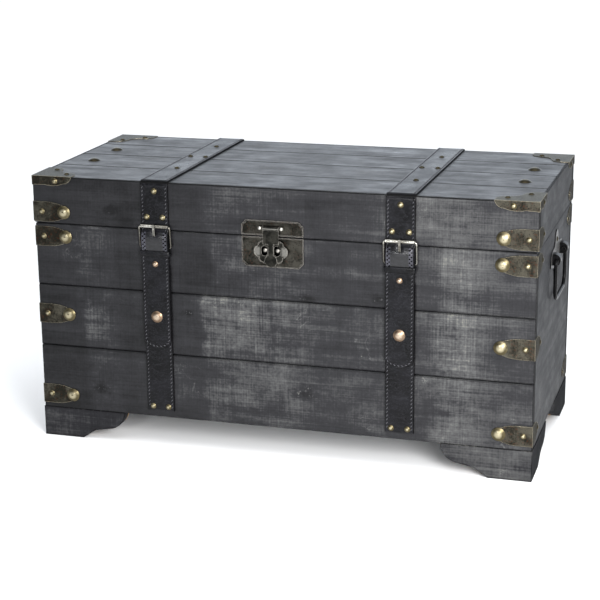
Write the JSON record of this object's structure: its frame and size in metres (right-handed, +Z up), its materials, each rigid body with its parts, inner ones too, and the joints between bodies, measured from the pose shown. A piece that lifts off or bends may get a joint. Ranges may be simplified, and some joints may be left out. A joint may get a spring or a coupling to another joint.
{
  "type": "steamer trunk",
  "caption": "Planked wooden steamer trunk on bracket feet with a hinged lid, leather buckle straps, pressed corner plates, a hasp latch and bail handles.",
  "frame": {"origin": "centre of the whole trunk in plan, on the floor under the feet", "axes": "+X along the length, to the right seen from the front; +Y to the back, where the hinges are; +Z up"},
  "size_m": [0.8272, 0.389, 0.4372],
  "materials": {
    "painted_wood": "worn charcoal stain over open grain, satin",
    "raw_wood": "bare sawn softwood",
    "leather": "black, semi-gloss, stitched edges",
    "antique_brass": "aged, brushed, bright on the high spots",
    "black_iron": "black lacquered"
  },
  "bodies": {
    "case": {"back_board_bottom": "painted_wood", "back_board_middle": "painted_wood", "back_board_top": "painted_wood", "bottom_battens": "raw_wood", "bottom_panel": "raw_wood", "case_corner_plates": "antique_brass", "case_dome_nails": "antique_brass", "case_rivets": "antique_brass", "case_screws": "antique_brass", "corner_posts": "raw_wood", "foot_back_left": "painted_wood", "foot_back_right": "painted_wood", "foot_front_left": "painted_wood", "foot_front_right": "painted_wood", "front_board_bottom": "painted_wood", "front_board_middle": "painted_wood", "front_board_top": "painted_wood", "handle_plates": "black_iron", "hinge_leaves_case": "antique_brass", "hinge_pins": "black_iron", "latch_lower_plate": "antique_brass", "side_panel_left": "painted_wood", "side_panel_right": "painted_wood", "snap_sockets": "antique_brass", "under_strap_left": "leather", "under_strap_right": "leather"},
    "buckle_left": {"buckle_frame_left": "antique_brass", "buckle_prong_left": "antique_brass", "buckle_strap_left": "leather"},
    "buckle_right": {"buckle_frame_right": "antique_brass", "buckle_prong_right": "antique_brass", "buckle_strap_right": "leather"},
    "lid": {"corner_caps": "antique_brass", "hinge_leaves_lid": "antique_brass", "latch_rod": "antique_brass", "latch_upper_plate": "antique_brass", "lid_back_rail": "painted_wood", "lid_cleats": "raw_wood", "lid_corner_plates": "antique_brass", "lid_dome_nails": "antique_brass", "lid_end_left": "painted_wood", "lid_end_right": "painted_wood", "lid_front_rail": "painted_wood", "lid_plank_1": "painted_wood", "lid_plank_2": "painted_wood", "lid_plank_3": "painted_wood", "lid_plank_4": "painted_wood", "lid_rivets": "antique_brass", "lid_screws": "antique_brass", "lid_strap_left": "leather", "lid_strap_right": "leather", "top_strap_left": "leather", "top_strap_right": "leather"},
    "bail_left": {"handle_bail_left": "black_iron"},
    "bail_right": {"handle_bail_right": "black_iron"},
    "hasp": {"hasp": "antique_brass"},
    "tail_left": {"snap_cap_left": "antique_brass", "strap_tail_left": "leather"},
    "tail_right": {"snap_cap_right": "antique_brass", "strap_tail_right": "leather"}
  },
  "joints": [
    {"name": "lid_hinge", "type": "hinge", "parent": "case", "child": "lid", "pos_m": [0, 0.19115, 0.3568], "axis": [-1, 0, 0], "range_deg": [0, 100]},
    {"name": "hasp_swing", "type": "hinge", "parent": "lid", "child": "hasp", "pos_m": [-0.0064, -0.18895, 0.3706], "axis": [-1, 0, 0], "range_deg": [0, 150]},
    {"name": "strap_droop_left", "type": "hinge", "parent": "lid", "child": "buckle_left", "pos_m": [-0.195, -0.18435, 0.3565], "axis": [1, 0, 0], "range_deg": [0, 50]},
    {"name": "tail_lift_left", "type": "hinge", "parent": "buckle_left", "child": "tail_left", "pos_m": [-0.195, -0.19095, 0.3122], "axis": [-1, 0, 0], "range_deg": [0, 80]},
    {"name": "strap_droop_right", "type": "hinge", "parent": "lid", "child": "buckle_right", "pos_m": [0.195, -0.18435, 0.3565], "axis": [1, 0, 0], "range_deg": [0, 50]},
    {"name": "tail_lift_right", "type": "hinge", "parent": "buckle_right", "child": "tail_right", "pos_m": [0.195, -0.19095, 0.3122], "axis": [-1, 0, 0], "range_deg": [0, 80]},
    {"name": "bail_swing_left", "type": "hinge", "parent": "case", "child": "bail_left", "pos_m": [-0.407, 0.00965, 0.309], "axis": [0, 1, 0], "range_deg": [0, 95]},
    {"name": "bail_swing_right", "type": "hinge", "parent": "case", "child": "bail_right", "pos_m": [0.407, 0.00965, 0.309], "axis": [0, -1, 0], "range_deg": [0, 95]}
  ],
  "couplings": [
    {"joint": "strap_droop_left", "follows": "lid_hinge", "ratio": 0.5},
    {"joint": "strap_droop_right", "follows": "lid_hinge", "ratio": 0.5}
  ]
}
